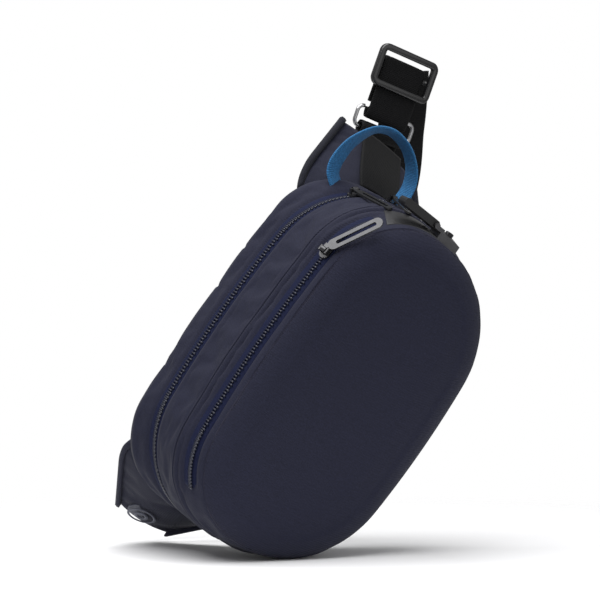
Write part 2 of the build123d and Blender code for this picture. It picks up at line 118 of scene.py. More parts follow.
# straps
WEBBING_WIDTH = 40.0
WEBBING_THICKNESS = 1.7
CLIP_CENTRE = (185.0, 56.5, 18.0)
CLIP_YAW = 5.0
CLIP_TILT = 15.0
RING_REACH = 16.0
RING_WIDTH = 52.0
RING_CORNER = 4.5
WIRE_RADIUS = 1.5
BUCKLE_REACH = 50.0
BUCKLE_LENGTH = 33.0
BUCKLE_WIDTH = 54.0
BUCKLE_LIFT = 6.0
BUCKLE_CORNER = 4.0
BUCKLE_RIM = 2.4
PATCH_LIFT = 2.6
PATCH_MIDDLE_Z = 20.0
PATCH_START, PATCH_END = 0.06, 0.985
PATCH_ROWS, PATCH_COLUMNS = 30, 18
WRAP_REACH = 8.0
RING_WRAP = 7.5
LOOP_MIDDLE_Y = -14.2
LOOP_WIDTH = 15.0
LOOP_RUN = [
    (119, 52), (131, 69), (149, 71), (164, 66), (175, 58),
    (180, 46), (178, 31), (170, 18), (158, 10), (142, 8),
]
LOOP_SIDES = [
    (0.16, -0.14, 0.98), (0.22, -0.45, 0.87), (0.2, -0.87, 0.45), (0.3, -0.93, 0.2), (0.41, -0.8, -0.3),
]
BELT_RUN = [
    (238, 71, 24), (201, 77, -6), (147, 83, -40), (44, 82, -49), (-76, 80, -36), (-154, 78, -10),
]

# stretches between the bag and a moving body that bend() is given: start and end of each
WING_BEND = ((126, 0, 0), (138, 14, 0))
BELT_RIGHT_BEND = ((80, 80, 0), (190, 80, 0))
BELT_LEFT_BEND = ((-60, 80, 0), (-140, 80, 0))
LOOP_BEND = ((132, -11.5, 37.5), (156, -11.5, 45))

# camera: azimuth, elevation and roll of the picture, distance from the origin
CAMERA_AZIMUTH = 1.3
CAMERA_ELEVATION = 29.0
CAMERA_ROLL = 54.5
CAMERA_DISTANCE = 1400.0
CAMERA_LENS = 111.7
CAMERA_SHIFT = (0.0167, 0.1017)

# studio
AMBIENT = 0.34
FLOOR_FADE = (0.30, 0.62)


# ======== meshes
def make_mesh(name, points, faces, smooth=True, uvs=None):
    """A mesh object from points in millimetres, with one uv pair for each point if they are given."""
    mesh = bpy.data.meshes.new(name)
    mesh.from_pydata((np.asarray(points, float) * MM).tolist(), [], faces)
    mesh.validate()
    for polygon in mesh.polygons:
        polygon.use_smooth = smooth
    if uvs is not None:
        layer = mesh.uv_layers.new(name="UVMap")
        for loop in mesh.loops:
            layer.data[loop.index].uv = uvs[loop.vertex_index]
    obj = bpy.data.objects.new(name, mesh)
    bpy.context.scene.collection.objects.link(obj)
    return obj


def grid_faces(rows, columns, wrap):
    """Quads of a grid of rows by columns, closed round the columns if wrap is set."""
    faces = []
    for row in range(rows - 1):
        for column in range(columns if wrap else columns - 1):
            beside = (column + 1) % columns
            faces.append((row * columns + column, row * columns + beside,
                          (row + 1) * columns + beside, (row + 1) * columns + column))
    return faces


def unit(vectors):
    """Vectors along the last axis, scaled to length one."""
    vectors = np.asarray(vectors, float)
    return vectors / np.maximum(np.linalg.norm(vectors, axis=-1, keepdims=True), 1e-9)


def run_tangents(path, closed):
    """Unit tangents along a path of points."""
    if closed:
        return unit(np.roll(path, -1, 0) - np.roll(path, 1, 0))
    return unit(np.gradient(path, axis=0))


def sweep(name, path, side, profile, closed=False):
    """A solid swept along a path. The profile is (across side, across the normal) pairs, anticlockwise."""
    path = np.asarray(path, float)
    profile = np.asarray(profile, float)
    tangents = run_tangents(path, closed)
    side = np.broadcast_to(np.asarray(side, float), path.shape)
    side = unit(side - tangents * (side * tangents).sum(1, keepdims=True))
    normal = np.cross(tangents, side)
    rings = (path[:, None] + side[:, None] * profile[None, :, :1] + normal[:, None] * profile[None, :, 1:])
    count, around = len(path), len(profile)
    faces = grid_faces(count + (1 if closed else 0), around, True)
    faces = [tuple(v % (count * around) for v in face) for face in faces]
    if not closed:
        faces.append(tuple(reversed(range(around))))
        faces.append(tuple((count - 1) * around + k for k in range(around)))
    steps = np.concatenate([[0], np.cumsum(np.linalg.norm(np.diff(path, axis=0), axis=1))])
    uvs = [(step, across) for step in steps for across in profile[:, 0]]
    return make_mesh(name, rings.reshape(-1, 3), faces, True, uvs)


def circle(radius, count=12):
    """A round profile."""
    angles = np.arange(count) * 2 * math.pi / count
    return np.stack([np.cos(angles), np.sin(angles)], 1) * radius


def band_profile(width, thickness):
    """A flat band with rounded edges and two shallow woven lines near its edges."""
    across = np.linspace(-1, 1, 25)
    half = thickness / 2 * (1 - np.abs(across) ** 10 * 0.75)
    half -= thickness * 0.12 * np.exp(-((np.abs(across) - 0.74) / 0.05) ** 2)
    top = np.stack([across * width / 2, -half], 1)
    return np.concatenate([top, np.stack([across[::-1] * width / 2, half[::-1]], 1)])


def smooth_path(points, count):
    """Points evenly spaced along a Catmull-Rom curve through the given ones."""
    points = np.asarray(points, float)
    ends = np.concatenate([[2 * points[0] - points[1]], points, [2 * points[-1] - points[-2]]])
    dense = []
    for index in range(len(points) - 1):
        a, b, c, d = ends[index:index + 4]
        for t in np.linspace(0, 1, 40, endpoint=False):
            dense.append(0.5 * (2 * b + (c - a) * t + (2 * a - 5 * b + 4 * c - d) * t**2
                                + (3 * b - a - 3 * c + d) * t**3))
    dense.append(points[-1])
    return resample(np.array(dense), count)


def resample(path, count):
    """The same path as evenly spaced points."""
    lengths = np.concatenate([[0], np.cumsum(np.linalg.norm(np.diff(path, axis=0), axis=1))])
    places = np.linspace(0, lengths[-1], count)
    return np.stack([np.interp(places, lengths, path[:, axis]) for axis in range(path.shape[1])], 1)


def applied(obj):
    """Replaces an object's mesh by its mesh with all modifiers applied."""
    evaluated = obj.evaluated_get(bpy.context.evaluated_depsgraph_get())
    mesh = bpy.data.meshes.new_from_object(evaluated)
    obj.modifiers.clear()
    obj.data = mesh
    for polygon in mesh.polygons:
        polygon.use_smooth = True
    return obj


def thicken(obj, thickness):
    """Gives an open sheet a thickness on its inner side."""
    modifier = obj.modifiers.new("thickness", "SOLIDIFY")
    modifier.thickness = thickness * MM
    modifier.offset = -1
    return applied(obj)


def puff(obj, hold, pressure, cap, bending=0.5):
    """Cloth simulation: air pressure fills the sheet between the points that hold keeps in place."""
    group = obj.vertex_groups.new(name="hold")
    for index, weight in enumerate(hold):
        if weight > 0.001:
            group.add([index], float(weight), "REPLACE")
    rest = np.array([vertex.co for vertex in obj.data.vertices])
    cloth = obj.modifiers.new("cloth", "CLOTH")
    settings = cloth.settings
    settings.quality = 6
    settings.mass = 0.15
    settings.vertex_group_mass = "hold"
    settings.pin_stiffness = 2
    settings.use_pressure = True
    settings.uniform_pressure_force = pressure
    settings.shrink_min = -GROWTH
    settings.bending_stiffness = bending
    settings.effector_weights.gravity = 0
    cloth.point_cache.frame_start = 1
    cloth.point_cache.frame_end = CLOTH_FRAMES
    for frame_number in range(1, CLOTH_FRAMES + 1):
        bpy.context.scene.frame_set(frame_number)
    evaluated = obj.evaluated_get(bpy.context.evaluated_depsgraph_get())
    moved = np.array([vertex.co for vertex in evaluated.data.vertices]) - rest
    obj.modifiers.clear()
    bpy.context.scene.frame_set(1)
    size = np.linalg.norm(moved, axis=1, keepdims=True)
    limit = cap * MM
    moved *= limit * np.tanh(size / limit) / np.maximum(size, 1e-9)
    obj.data.vertices.foreach_set("co", (rest + moved).astype(np.float32).ravel())
    obj.data.update()
    return obj


def bend(obj, moving, start, end):
    """Bakes a soft piece's placement into its mesh points; it does not bend the piece."""
    start, end = (tuple(value * MM for value in point) for point in (start, end))
    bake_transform(obj)


# ======== bag outline
def level(depth):
    """Outline sizes at a depth."""
    depths = sorted(LEVELS)
    return [np.interp(depth, depths, [LEVELS[d][k] for d in depths]) for k in range(6)]


def quarter(half, height, crown, radius, counts):
    """Points of a quarter of the outline, from the middle of the crown to the side."""
    arch = (half**2 + crown**2) / (2 * crown)
    x = half - radius
    z = height - arch + math.sqrt((arch - radius) ** 2 - x**2)
    turn = math.atan2(z - height + arch, x)
    crown_angles = np.linspace(math.pi / 2, turn, counts[0], endpoint=False)
    corner_angles = np.linspace(turn, 0, counts[1])
    crown_points = np.stack([np.cos(crown_angles) * arch, np.sin(crown_angles) * arch + height - arch], 1)
    corner_points = np.stack([x + np.cos(corner_angles) * radius, z + np.sin(corner_angles) * radius], 1)
    return np.concatenate([crown_points, corner_points])


def outline(depth, inset=0.0):
    """Closed outline (x, z) at a depth, from the middle of the top towards +X and round."""
    half, top, bottom, crown, upper_radius, lower_radius = level(depth)
    upper = quarter(half - inset, top - inset, crown, upper_radius - inset, SEGMENT_SAMPLES[:2])
    lower = quarter(half - inset, bottom - inset, BOTTOM_CROWN, lower_radius - inset, SEGMENT_SAMPLES[3:])
    lower = (lower * (1, -1))[::-1]
    side = np.linspace(upper[-1], lower[0], SEGMENT_SAMPLES[2] + 2)[1:-1]
    right = np.concatenate([upper, side, lower])
    left = (right * (-1, 1))[::-1][1:-1]
    return np.concatenate([right, left])


def outward(points):
    """Unit normals of a closed outline, pointing out of the bag."""
    along = np.roll(points, -1, 0) - np.roll(points, 1, 0)
    return unit(np.stack([-along[:, 1], along[:, 0]], 1))


def zip_mask(height, low_end):
    """One where a zip runs and zero below its low end, with a short run-out."""
    return np.clip((height - low_end) / 5.0 + 0.5, 0, 1)


def channel(distance, mask):
    """How far the shell fabric stands out beside a zip: a welt at its fold and a drop under the tape."""
    distance = abs(distance)
    drop = np.interp(distance, [0, TAPE_HALF - 0.6, TAPE_HALF + 0.5], [-CHANNEL_DROP, -CHANNEL_DROP, 0.3])
    welt = WELT_RISE * math.exp(-((distance - TAPE_HALF - 1.4) / 1.5) ** 2)
    return (drop if distance < TAPE_HALF + 0.5 else 0) * mask + welt * mask


def wave(x, y, z, size):
    """Smooth noise between about -1 and 1 for features of a given size."""
    return noise.noise(Vector((x / size, y / size, z / size)))


# ======== bag skin
def skin_point_rows(rows):
    """Points of the shell for (depth, inset) rows, with zip channels and soft unevenness."""
    points = []
    for depth, inset in rows:
        ring = outline(depth, inset)
        normals = outward(ring)
        main = zip_mask(ring[:, 1], MAIN_ZIP_LOW_END)
        front = zip_mask(ring[:, 1], FRONT_ZIP_LOW_END)
        lift = channel(depth - ZIP_DEPTH, main) + channel(depth - FRONT_ZIP_DEPTH, front)
        calm = (main * math.exp(-((depth - ZIP_DEPTH) / 9) ** 4)
                + front * math.exp(-((depth - FRONT_ZIP_DEPTH) / 8) ** 4))
        lift = lift + np.array([0.9 * wave(x, depth * 2.2, z, 42) + 0.45 * wave(x, depth * 2, z, 17)
                                for x, z in ring]) * (1 - 0.95 * np.clip(calm, 0, 1))
        lift += 1.1 * math.exp(-((depth - FOLD_DEPTH) / 1.8) ** 2)
        lift -= 1.0 * math.exp(-((depth - FOLD_DEPTH - 3.4) / 1.2) ** 2)
        spot = ring + normals * lift[:, None]
        points.append(np.stack([spot[:, 0], np.full(len(spot), -depth), spot[:, 1]], 1))
    return np.array(points)


def skin(name, rows, pressure, cap, node):
    """One panel ring of the shell, puffed between its seams."""
    points = skin_point_rows(rows)
    count, around = points.shape[:2]
    obj = make_mesh(name, points.reshape(-1, 3), grid_faces(count, around, True))
    hold = np.zeros((count, around))
    hold[:2] = 1
    hold[-2:] = 1
    for index, (depth, inset) in enumerate(rows):
        near_main = abs(depth - ZIP_DEPTH) < TAPE_HALF + 2
        near_front = abs(depth - FRONT_ZIP_DEPTH) < TAPE_HALF + 1.6
        if near_main:
            hold[index] = np.maximum(hold[index], zip_mask(points[index, :, 2], MAIN_ZIP_LOW_END))
        if near_front:
            hold[index] = np.maximum(hold[index], zip_mask(points[index, :, 2], FRONT_ZIP_LOW_END))
        if LOCK_DEPTHS[0] < depth < LOCK_DEPTHS[1]:
            beside_lock = points[index, :, 0] > LOCK_NEAR_X
            beside_lock &= abs(points[index, :, 2] - LOCK_MIDDLE_Z) < LOCK_REACH
            hold[index] = np.maximum(hold[index], beside_lock)
    puff(obj, hold.ravel(), pressure, cap)
    thicken(obj, 1.6)
    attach(obj, "bag")
    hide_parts(node)
    return obj


def spaced(start, end, step):
    """Depths from start to end at about the given step."""
    return list(np.linspace(start, end, max(3, int(abs(end - start) / step) + 1)))


def bag_shell(fabric):
    """Rear shell, front shell and pocket gusset."""
    back = [(7.6, 36), (7.3, 30), (7.0, 22), (6.7, 14), (6.8, 7), (7.6, 3), (9.4, 1), (12.0, 0)]
    rear_rows = back + [(d, 0) for d in spaced(14.0, ZIP_DEPTH, 1.3)]
    front_rows = [(d, 0) for d in spaced(ZIP_DEPTH, FOLD_DEPTH, 1.3)]
    pocket_rows = [(d, 0) for d in spaced(FOLD_DEPTH, SEAM_DEPTH, 1.2)]
    for name, rows, cap, node in (
        ("shell_rear", rear_rows, 2.0, "rear_shell"),
        ("shell_front", front_rows, 2.4, "front_shell"),
        ("shell_pocket", pocket_rows, 1.2, "pocket_gusset"),
    ):
        skin(name, rows, 4.0, cap, node).data.materials.append(fabric)


def distance_inside(points, ring):
    """Shortest distance from each point to an outline."""
    return np.sqrt(((points[:, None] - ring[None]) ** 2).sum(2)).min(1)


def panel_points(depth, across, up):
    """A grid that fills the outline at a depth: columns from end to end, rows from bottom to top."""
    ring = resample(np.concatenate([outline(depth), outline(depth)[:1]]), 1200)
    half = ring[:, 0].max()
    columns = []
    for share in np.sin(np.linspace(-math.pi / 2, math.pi / 2, across)):
        x = share * (half - 0.02)
        upper = ring[(np.abs(ring[:, 0] - x) < 1.2) & (ring[:, 1] > -10)]
        lower = ring[(np.abs(ring[:, 0] - x) < 1.2) & (ring[:, 1] < -15)]
        order_up, order_low = np.argsort(upper[:, 0]), np.argsort(lower[:, 0])
        top = np.interp(x, upper[order_up, 0], upper[order_up, 1])
        low = np.interp(x, lower[order_low, 0], lower[order_low, 1])
        columns.append([(x, z) for z in low + (top - low) * np.sin(np.linspace(0, math.pi / 2, up)) ** 2])
    return np.array(columns), ring


def front_panel(fabric):
    """Domed front panel with a rolled edge and soft waves."""
    flat, ring = panel_points(SEAM_DEPTH, *PANEL_GRID)
    spots = flat.reshape(-1, 2)
    distance = distance_inside(spots, ring)
    depth = np.interp(distance, PANEL_FROM_EDGE, PANEL_DEPTHS)
    depth += np.array([(1.3 * wave(x, 3, z, 60) + 0.6 * wave(x, 9, z, 24)) for x, z in spots]) * np.clip(
        (distance - 12) / 20, 0, 1)
    points = np.stack([spots[:, 0], -depth, spots[:, 1]], 1)
    obj = make_mesh("panel_front", points, grid_faces(*PANEL_GRID, False))
    hold = (distance < 16).astype(float)
    puff(obj, hold, 3.0, 1.2)
    thicken(obj, 1.6)
    obj.data.materials.append(fabric)
    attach(obj, "bag")
    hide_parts("front_panel")


def ring_path(depth, lift=0.0):
    """The bag's outline at a depth as points in space, moved outwards by lift."""
    ring = outline(depth)
    ring = ring + outward(ring) * lift
    return np.stack([ring[:, 0], np.full(len(ring), -depth), ring[:, 1]], 1), outward(outline(depth))


def above(path, normals, low_end):
    """The stretch of a closed outline that lies above a height, in order from the left end to the right."""
    start = int(np.argmin(path[:, 2]))
    path, normals = np.roll(path, -start, 0), np.roll(normals, -start, 0)
    keep = path[:, 2] > low_end
    return path[keep], normals[keep]


def piping(fabric):
    """Piping round the seam between pocket gusset and front panel."""
    path, _ = ring_path(SEAM_DEPTH, 0.3)
    obj = sweep("piping_front", path, (0, 1, 0), circle(1.3), closed=True)
    obj.data.materials.append(fabric)
    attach(obj, "bag")
    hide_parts("front_piping")


def zip_tapes(depth, low_end, name, nodes, fabric):
    """The two tapes of a zip: woven strips that follow the shell, with a raised cord by the teeth."""
    heights = outline(depth)[:, 1]
    order = np.roll(np.arange(len(heights)), -int(np.argmin(heights)))
    keep = order[heights[order] > low_end]
    across = [0.5, 2.0, 3.4, TAPE_HALF + 0.7]
    rise = [0.5, 0.55, 0.3, 0.1]
    for side, label, node in ((1, "rear", nodes[0]), (-1, "front", nodes[1])):
        rows = [ring_path(depth - side * reach, lift)[0][keep] for reach, lift in zip(across, rise)]
        rows = rows[::-1] if side > 0 else rows
        obj = make_mesh(f"{name}_tape_{label}", np.concatenate(rows), grid_faces(len(rows), len(keep), False))
        thicken(obj, 0.8)
        obj.data.materials.append(fabric)
        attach(obj, "bag")
        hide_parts(node)


def fix_normals(obj):
    """Makes all faces of a closed mesh point outwards."""
    work = bmesh.new()
    work.from_mesh(obj.data)
    bmesh.ops.recalc_face_normals(work, faces=work.faces)
    work.to_mesh(obj.data)
    work.free()


def box_at(centre, along, across, up, sizes):
    """A block with cut corners, as 16 points in two rings of eight."""
    a, b, c = (size / 2 for size in sizes)
    ring = [(-a, -b * 0.6), (-a * 0.6, -b), (a * 0.6, -b), (a, -b * 0.6),
            (a, b * 0.6), (a * 0.6, b), (-a * 0.6, b), (-a, b * 0.6)]
    corners = [centre + along * x + across * y + up * z for z in (-c, c) for x, y in ring]
    return np.array(corners)


BLOCK_FACES = [(k, (k + 1) % 8, (k + 1) % 8 + 8, k + 8) for k in range(8)] + [
    tuple(reversed(range(8))), tuple(range(8, 16))]


def blocks(name, items):
    """One mesh of many small blocks, each given as (centre, along, across, up, sizes)."""
    points, faces = [], []
    for item in items:
        base = len(points)
        points.extend(box_at(*item))
        faces.extend(tuple(base + v for v in face) for face in BLOCK_FACES)
    return make_mesh(name, points, faces, True)


def zip_teeth(depth, low_end, name, node, plastic):
    """Coil turns of a zip, set alternately from either side."""
    path, normals = ring_path(depth)
    path, normals = above(path, normals, low_end)
    length = np.linalg.norm(np.diff(path, axis=0), axis=1).sum()
    count = int(length / TOOTH_PITCH)
    both = resample(np.concatenate([path, normals * 100], 1), count)
    path, normals = both[:, :3], unit(both[:, 3:])
    tangents = run_tangents(path, False)
    items = []
    for index, (spot, normal, tangent) in enumerate(zip(path, normals, tangents)):
        out = np.array([normal[0], 0, normal[1]])
        shift = 0.55 if index % 2 else -0.55
        centre = spot + out * 1.25 + np.array([0, shift, 0])
        items.append((centre, np.array([0, 1.0, 0]), out, tangent, (2 * COIL_HALF - 0.6, 1.6, 1.0)))
    obj = blocks(name, items)
    obj.data.materials.append(plastic)
    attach(obj, "bag")
    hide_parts(node)


def stitch_line(name, path, out, thread):
    """A line of stitches that lie on the shell along a path."""
    length = np.linalg.norm(np.diff(path, axis=0), axis=1).sum()
    both = resample(np.concatenate([path, out * 100], 1), int(length / STITCH_PITCH))
    spots, out = both[:, :3], unit(both[:, 3:])
    tangents = run_tangents(spots, False)
    items = [(spot, tangent, np.cross(tangent, up), up, STITCH_SIZE)
             for spot, tangent, up in zip(spots, tangents, out)]
    obj = blocks(name, items)
    obj.data.materials.append(thread)
    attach(obj, "bag")


def shell_stitches(thread):
    """Stitches beside both zips."""
    for name, depth, low_end, offset in (
        ("stitch_main_rear", ZIP_DEPTH, MAIN_ZIP_LOW_END, -TAPE_HALF - 2.2),
        ("stitch_main_front", ZIP_DEPTH, MAIN_ZIP_LOW_END, TAPE_HALF + 2.2),
        ("stitch_front_lower", FRONT_ZIP_DEPTH, FRONT_ZIP_LOW_END, TAPE_HALF + 1.6),
    ):
        path, normals = ring_path(depth + offset, 1.15)
        path, normals = above(path, normals, low_end)
        out = np.stack([normals[:, 0], normals[:, 0] * 0, normals[:, 1]], 1)
        stitch_line(name, path, out, thread)


def back_pad(mesh_fabric):
    """Back pad: soft rounded edge and three stitched grooves across it."""
    flat, ring = panel_points(0.0, *PAD_GRID)
    half, top, bottom = ring[:, 0].max(), ring[:, 1].max(), -ring[:, 1].min()
    spots = flat.reshape(-1, 2) * ((half - PAD_INSET) / half, 1)
    spots[:, 1] *= (top - PAD_INSET) / top
    edge = ring * ((half - PAD_INSET) / half, (top - PAD_INSET) / top)
    ramp = np.clip(distance_inside(spots, edge) / PAD_EDGE, 0, 1)
    rise = PAD_DEPTH * ramp**0.45
    for groove in PAD_GROOVES:
        rise -= GROOVE_DEPTH * np.exp(-((spots[:, 0] - groove) / GROOVE_HALF) ** 2) * ramp
    points = np.stack([spots[:, 0], -PAD_DEPTH + rise - 0.05, spots[:, 1]], 1)
    obj = make_mesh("pad_back", points, [tuple(reversed(face)) for face in grid_faces(*PAD_GRID, False)])
    thicken(obj, 1.0)
    obj.data.materials.append(mesh_fabric)
    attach(obj, "bag")
    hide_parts("back_pad")


# ======== inner layers
def hemmed_sheet(name, half_x, half_z, centre_z, depth, bulge):
    """A cloth sheet that hangs inside the bag, with a turned hem along its top."""
    rows, columns = 26, 44
    x, z = np.meshgrid(np.linspace(-1, 1, columns), np.linspace(-1, 1, rows))
    pull = np.sqrt(np.clip(1 - 0.12 * np.abs(z) ** 8, 0, 1))
    sag = bulge * (1 - x**2) * (1 - z**2) + 0.25 * np.sin(x * 9) * (1 - z**2)
    hem = 0.6 * (z > 0.9)
    points = np.stack([x * half_x * pull, -(depth + sag + hem), centre_z + z * half_z], -1)
    obj = make_mesh(name, points.reshape(-1, 3), grid_faces(rows, columns, False))
    return thicken(obj, 0.5)


def inner_layers(lining, steel):
    """Slip pocket on the back wall and wire guard behind the front panel."""
    pocket = hemmed_sheet("pocket_slip", 94, 47, 0, 9.2, 3.0)
    pocket.data.materials.append(lining)
    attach(pocket, "bag")
    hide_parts("slip_pocket")
    low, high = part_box("slash_guard")
    low, high = np.array(low) / MM, np.array(high) / MM
    items = []
    for x in np.arange(low[0] + 4, high[0] - 3, 4.0):
        items.append((np.array([x, low[1] + 0.25, (low[2] + high[2]) / 2]), np.array([1.0, 0, 0]),
                      np.array([0, 1.0, 0]), np.array([0, 0, 1.0]), (0.35, 0.35, high[2] - low[2] - 8)))
    for z in np.arange(low[2] + 4, high[2] - 3, 4.0):
        items.append((np.array([0, low[1] + 0.55, z]), np.array([0, 0, 1.0]),
                      np.array([0, 1.0, 0]), np.array([1.0, 0, 0]), (0.35, 0.35, high[0] - low[0] - 8)))
    guard = blocks("guard_wires", items)
    guard.data.materials.append(steel)
    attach(guard, "bag")
    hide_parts("slash_guard")


# ======== wings
def wing_section(share, side, edge_share):
    """Outer face point of a wing at a share of its length and a share of its height, from -1 to 1."""
    tip = WING_TIPS[side]
    tuck = tip["tuck"] * max(0.0, 1 - share / TUCK_SHARE) ** 2
    root_point = np.array([side * (ROOT_X + ROOT_BOW * (1 - edge_share**2)), ROOT_Y,
                           ROOT_Z + (ROOT_HALF - tuck) * edge_share])
    tip_point = (np.array(tip["place"]) + np.array(tip["out"]) * TIP_BOW * (1 - edge_share**2)
                 + np.array([0, 0, tip["half"] * edge_share]))
    return root_point * (1 - share) + tip_point * share


def wing_out(share, side):
    """Outward direction of a wing's face at a share of its length."""
    return unit(np.array([side, 0, 0]) * (1 - share) + np.array(WING_TIPS[side]["out"]) * share)


def soft_wing(node, side, fabric):
    """A padded wing that grows out of the bag's back edge, filled with air between its bound edges."""
    shares = np.linspace(0, 1, 34)
    heights = np.linspace(-1, 1, 46)
    outer, inner, hold = [], [], []
    for share in shares:
        for height in heights:
            spot = wing_section(share, side, height)
            swell = (1 - height**2) ** 0.6 * (1 - share**12)
            lumps = 1.1 * wave(spot[0], spot[1], spot[2], 30) + 0.5 * wave(spot[0], spot[1], spot[2], 13)
            out = wing_out(share, side)
            outer.append(spot + out * (1.0 * swell + 0.7 * lumps * swell - WING_SINK))
            inner.append(spot - out * (2.0 + 5.5 * swell - 0.5 * lumps * swell))
            hold.append(1.0 if share < 0.05 or abs(height) > 0.97 or share > 0.97 else 0.0)
    rows, columns = len(shares), len(heights)
    points = np.array(outer + inner)
    size = rows * columns
    faces = grid_faces(rows, columns, False)
    back = [tuple(v + size for v in reversed(face)) for face in faces]
    border = ([(r, 0) for r in range(rows)] + [(rows - 1, c) for c in range(1, columns)]
              + [(r, columns - 1) for r in range(rows - 2, -1, -1)]
              + [(0, c) for c in range(columns - 2, 0, -1)])
    rim = [r * columns + c for r, c in border]
    walls = [(rim[k], rim[(k + 1) % len(rim)], rim[(k + 1) % len(rim)] + size, rim[k] + size)
             for k in range(len(rim))]
    obj = make_mesh(f"pad_{node}", points, faces + back + walls)
    fix_normals(obj)
    puff(obj, hold + hold, 4.0, 1.2, bending=0.4)
    finer = obj.modifiers.new("finer", "SUBSURF")
    finer.levels = finer.render_levels = 1
    applied(obj)
    obj.data.materials.append(fabric)
    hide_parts(node)
    wing_blend(obj, node, side)


def wing_blend(obj, node, side):
    """Passes a wing piece to bend() with the wing's stretch, mirrored to its side."""
    bend(obj, node, *((side * x, y, z) for x, y, z in WING_BEND))


def wing_binding(name, side, node, width, fabric):
    """Binding folded over a wing's upper and lower edges."""
    for sign, label in ((1, "upper"), (-1, "lower")):
        path = np.array([wing_section(share, side, sign) - wing_out(share, side) * 0.6
                         for share in np.linspace(0.02, 1, 30)])
        out = np.array([wing_out(share, side) for share in np.linspace(0.02, 1, 30)])
        profile = np.array([
            (2.4, -width), (2.9, -width * 0.4), (2.2, 1.0), (0, 1.7), (-2.6, 1.0), (-3.2, -width * 0.4),
            (-2.8, -width),
        ]) * (1, sign)
        tangents = run_tangents(path, False)
        over = unit(np.cross(tangents, out))
        over = over * np.sign(over[:, 2:])
        points = path[:, None] + out[:, None] * profile[None, :, :1] + over[:, None] * profile[None, :, 1:]
        around = len(profile)
        faces = grid_faces(len(path), around, True)
        faces += [tuple(range(around)), tuple((len(path) - 1) * around + k for k in reversed(range(around)))]
        steps = np.linspace(0, 80, len(path))
        uvs = [(step, k) for step in steps for k in range(around)]
        obj = make_mesh(f"{name}_{label}", points.reshape(-1, 3), faces, True, uvs)
        fix_normals(obj)
        obj.data.materials.append(fabric)
        wing_blend(obj, node, side)


def badge(rubber):
    """Raised rubber ring and dot on the left wing."""
    low, high = (np.array(corner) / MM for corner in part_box("wing_badge"))
    centre, out = (low + high) / 2, np.array([-0.85, -0.53, 0])
    along = np.array([-0.53, 0.85, 0])
    centre = centre + out * 3.2
    angles = np.arange(48) * 2 * math.pi / 48
    for name, radius, thick in (("badge_ring", 10.6, 1.0), ("badge_inner", 4.2, 1.6)):
        path = centre + radius * (np.cos(angles)[:, None] * along + np.sin(angles)[:, None] * (0, 0, 1.0))
        obj = sweep(name, path, out, circle(thick, 10) * (0.5, 1), closed=True)
        fix_normals(obj)
        obj.data.materials.append(rubber)
        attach(obj, "left_wing")


# ======== straps
def clip_frame():
    """Directions along the strap, across it and out of its front."""
    tilt, yaw = math.radians(CLIP_TILT), math.radians(CLIP_YAW)
    along = np.array([math.cos(tilt) * math.cos(yaw), math.cos(tilt) * math.sin(yaw), math.sin(tilt)])
    front = np.array([math.sin(yaw), -math.cos(yaw), 0.0])
    return along, np.cross(front, along), front


ALONG, ACROSS, FRONT = clip_frame()


def clip_point(s, n, w=0.0):
    """A point along the strap, out of its front and across it, from the ring's near bar."""
    return np.array(CLIP_CENTRE) + ALONG * s + FRONT * n + ACROSS * w


def webbing_piece(name, path, across, width, material, body, thickness=WEBBING_THICKNESS):
    """A length of webbing along a path."""
    obj = sweep(name, path, across, band_profile(width, thickness))
    fix_normals(obj)
    obj.data.materials.append(material)
    if body:
        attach(obj, body)
    return obj


def ring_and_tab(webbing, wire):
    """Wire ring with an open end, and the webbing roll that holds it on the wing."""
    pairs = rounded_rectangle(RING_REACH / 2, RING_WIDTH / 2, RING_CORNER)
    path = [clip_point(RING_REACH / 2 + s, 0, w) for s, w in pairs]
    path = resample(np.array(path + path[:1]), 90)
    obj = sweep("ring_wire", path[:-3], FRONT, circle(WIRE_RADIUS, 14))
    fix_normals(obj)
    obj.data.materials.append(wire)
    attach(obj, "strap_ring")
    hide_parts("strap_ring")
    turns = np.linspace(-0.15, 1.9, 40) * math.pi
    radii = 3.6 + (turns - turns[0]) / (turns[-1] - turns[0]) * 1.8
    roll = [clip_point(r * math.cos(a), r * math.sin(a)) for a, r in zip(turns, radii)]
    tail = [clip_point(-3 - k, -4.2 + 0.12 * k) for k in range(0, 10, 2)]
    webbing_piece("tab_roll", np.array(roll), ACROSS, WEBBING_WIDTH, webbing, "right_wing")
    tab = webbing_piece("tab_tail", np.array(tail), ACROSS, WEBBING_WIDTH, webbing,
                        "right_wing", 2.6)
    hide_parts("clip_tab")


def front_strap(webbing):
    """Strap from the ring, over the buckle's middle bar and back behind itself."""
    lap = [clip_point(RING_REACH + 0.5, -3.0)]
    for angle in np.linspace(-100, -260, 9):
        turn = math.radians(angle)
        lap.append(clip_point(RING_REACH + RING_WRAP * math.cos(turn), 2.9 * math.sin(turn)))
    lap += [clip_point(s, 2.9 + 0.25 * math.sin((s - 18) / 6)) for s in np.linspace(20, 46, 9)]
    for angle in np.linspace(70, -70, 12):
        turn = math.radians(angle)
        lap.append(clip_point(BUCKLE_REACH + WRAP_REACH * math.cos(turn), 3.1 * math.sin(turn)))
    lap += [clip_point(s, -2.9) for s in np.linspace(46, 21, 7)]
    path = smooth_path(lap, 110)
    obj = webbing_piece("strap_front", path, ACROSS, WEBBING_WIDTH - 2, webbing,
                        "front_strap", 1.5)
    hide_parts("front_strap")


def rounded_rectangle(half_s, half_w, corner, steps=7):
    """Closed path of a rounded rectangle as (s, w) pairs."""
    path = []
    for s, w, start in ((half_s - corner, half_w - corner, 0), (corner - half_s, half_w - corner, 90),
                        (corner - half_s, corner - half_w, 180), (half_s - corner, corner - half_w, 270)):
        for angle in np.linspace(start, start + 90, steps):
            turn = math.radians(angle)
            path.append((s + corner * math.cos(turn), w + corner * math.sin(turn)))
    return np.array(path)


